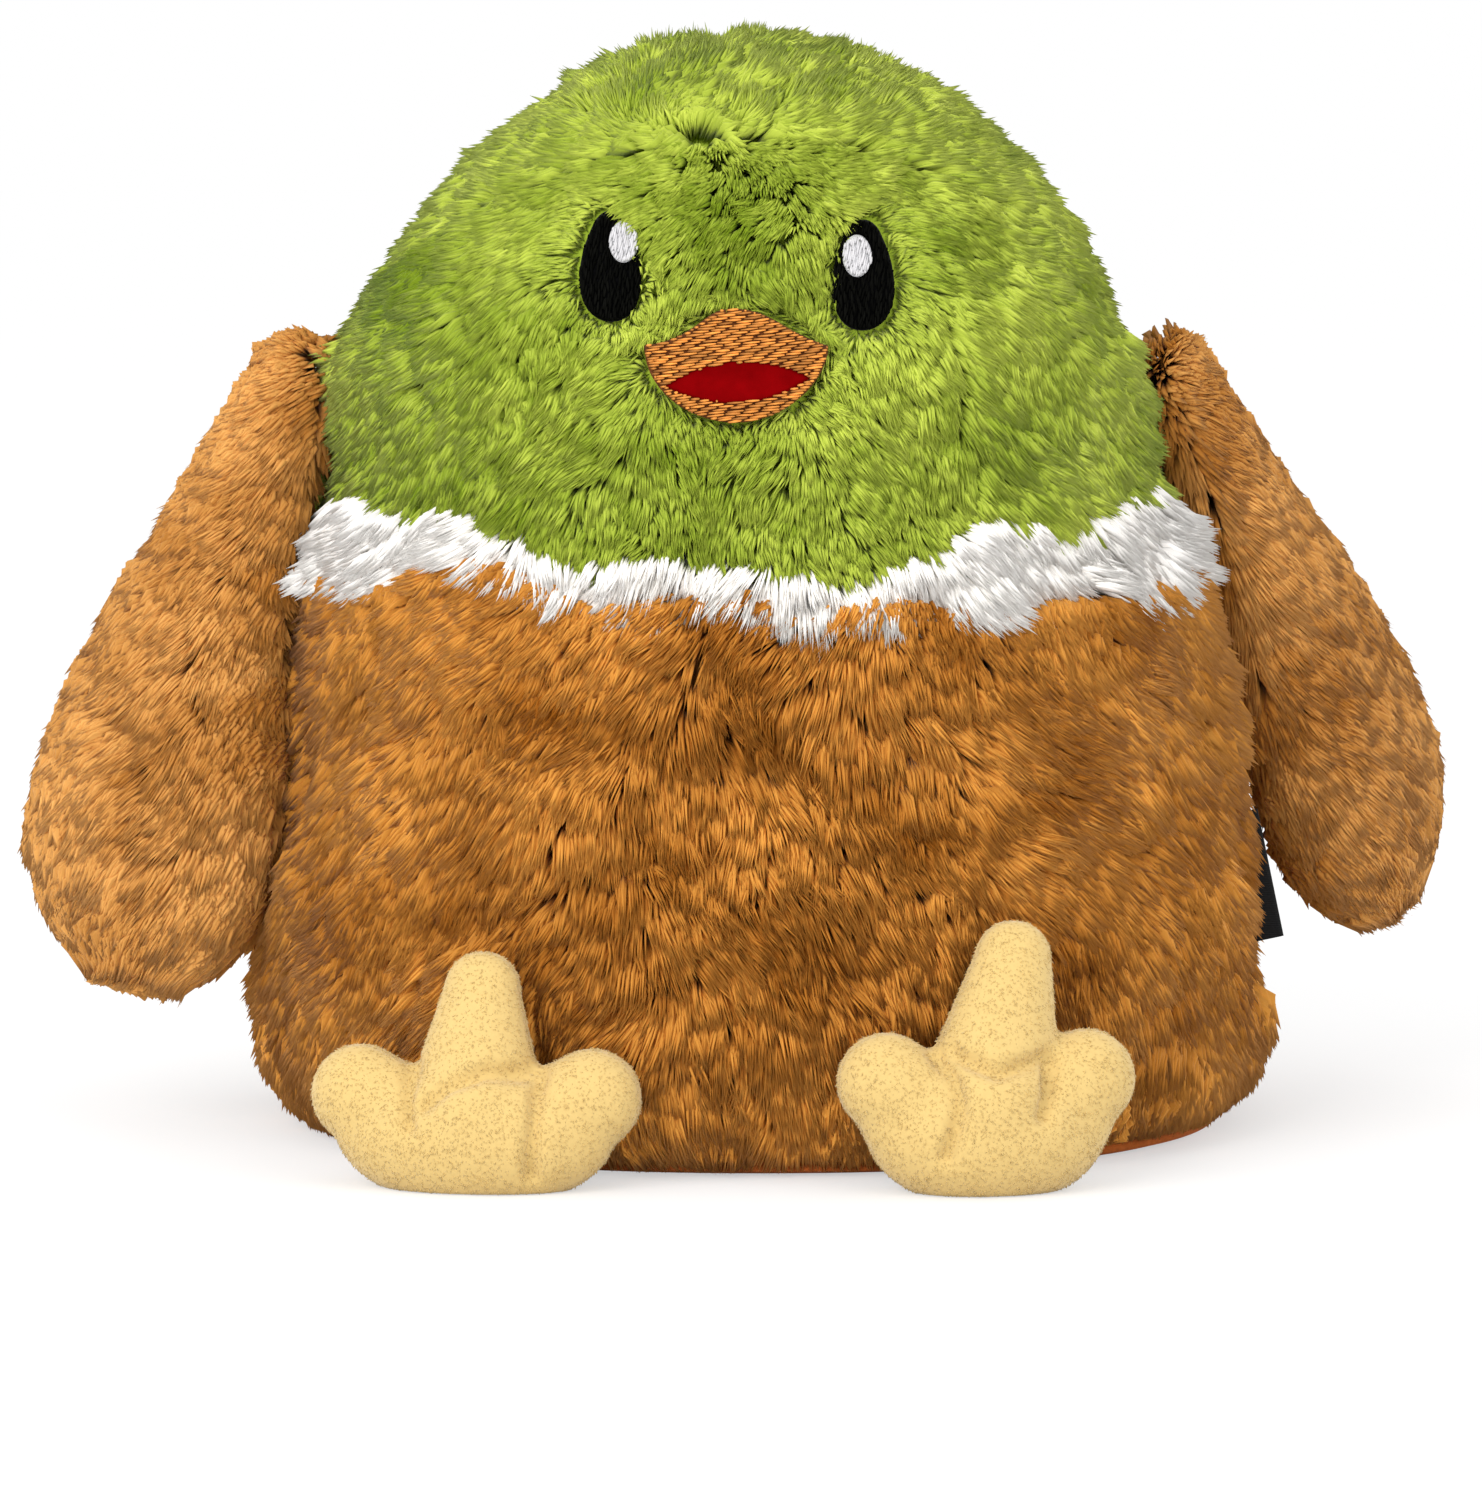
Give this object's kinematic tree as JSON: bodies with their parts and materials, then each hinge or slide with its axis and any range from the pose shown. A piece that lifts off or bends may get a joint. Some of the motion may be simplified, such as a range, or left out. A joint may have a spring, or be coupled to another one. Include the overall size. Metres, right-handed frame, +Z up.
{
  "type": "plush duck",
  "caption": "Sitting plush duck with long green, white and brown fur, hanging stuffed wings, short-pile three-toed feet and an embroidered face.",
  "frame": {"origin": "middle of the flat base panel, on the surface the duck sits on", "axes": "+Z up, -Y the way the face and toes point, +X the duck's own left"},
  "size_m": [0.2859, 0.2034, 0.219],
  "materials": {
    "green_plush": "long pile, matt",
    "white_plush": "long pile, matt",
    "brown_plush": "long pile, matt",
    "base_cloth": "short knitted cloth, matt",
    "yellow_minky": "short soft pile, matt",
    "fibre_fill": "loose fibre, matt",
    "black_thread": "embroidered, slight sheen",
    "white_thread": "embroidered, satin",
    "orange_thread": "embroidered, satin",
    "red_satin": "smooth cloth, satin",
    "black_ribbon": "woven, satin"
  },
  "bodies": {
    "torso": {"base_panel": "base_cloth", "body_front_panel": "brown_plush", "body_back_panel": "brown_plush", "collar_front_panel": "white_plush", "collar_back_panel": "white_plush", "face_panel": "green_plush", "head_back_panel": "green_plush", "torso_filling": "fibre_fill", "right_eye": "black_thread", "right_eye_glint": "white_thread", "left_eye": "black_thread", "left_eye_glint": "white_thread", "beak_embroidery": "orange_thread", "mouth_patch": "red_satin"},
    "right_wing": {"right_wing_front_panel": "brown_plush", "right_wing_back_panel": "brown_plush", "right_wing_filling": "fibre_fill"},
    "left_wing": {"left_wing_front_panel": "brown_plush", "left_wing_back_panel": "brown_plush", "left_wing_filling": "fibre_fill"},
    "right_foot": {"right_foot_front_panel": "yellow_minky", "right_foot_back_panel": "yellow_minky", "right_foot_filling": "fibre_fill"},
    "left_foot": {"left_foot_front_panel": "yellow_minky", "left_foot_back_panel": "yellow_minky", "left_foot_filling": "fibre_fill"},
    "label": {"side_label": "black_ribbon"}
  },
  "joints": [
    {"name": "left_wing_lift", "type": "hinge", "parent": "torso", "child": "left_wing", "pos_m": [0.0885, 0.004, 0.148], "axis": [0, -1, 0], "range_deg": [0, 105]},
    {"name": "right_wing_lift", "type": "hinge", "parent": "torso", "child": "right_wing", "pos_m": [-0.0906, -0.006, 0.148], "axis": [0, 1, 0], "range_deg": [0, 105]},
    {"name": "left_foot_tilt", "type": "hinge", "parent": "torso", "child": "left_foot", "pos_m": [0.0461, -0.085, 0.006], "axis": [1, 0, 0], "range_deg": [0, 75]},
    {"name": "right_foot_tilt", "type": "hinge", "parent": "torso", "child": "right_foot", "pos_m": [-0.0499, -0.081, 0.006], "axis": [1, 0, 0], "range_deg": [0, 75]},
    {"name": "label_flap", "type": "hinge", "parent": "torso", "child": "label", "pos_m": [0.1005, 0, 0.0481], "axis": [-0.206, 0, 0.9786], "range_deg": [-40, 40], "stiffness_Nm_per_rad": 0.0005}
  ]
}
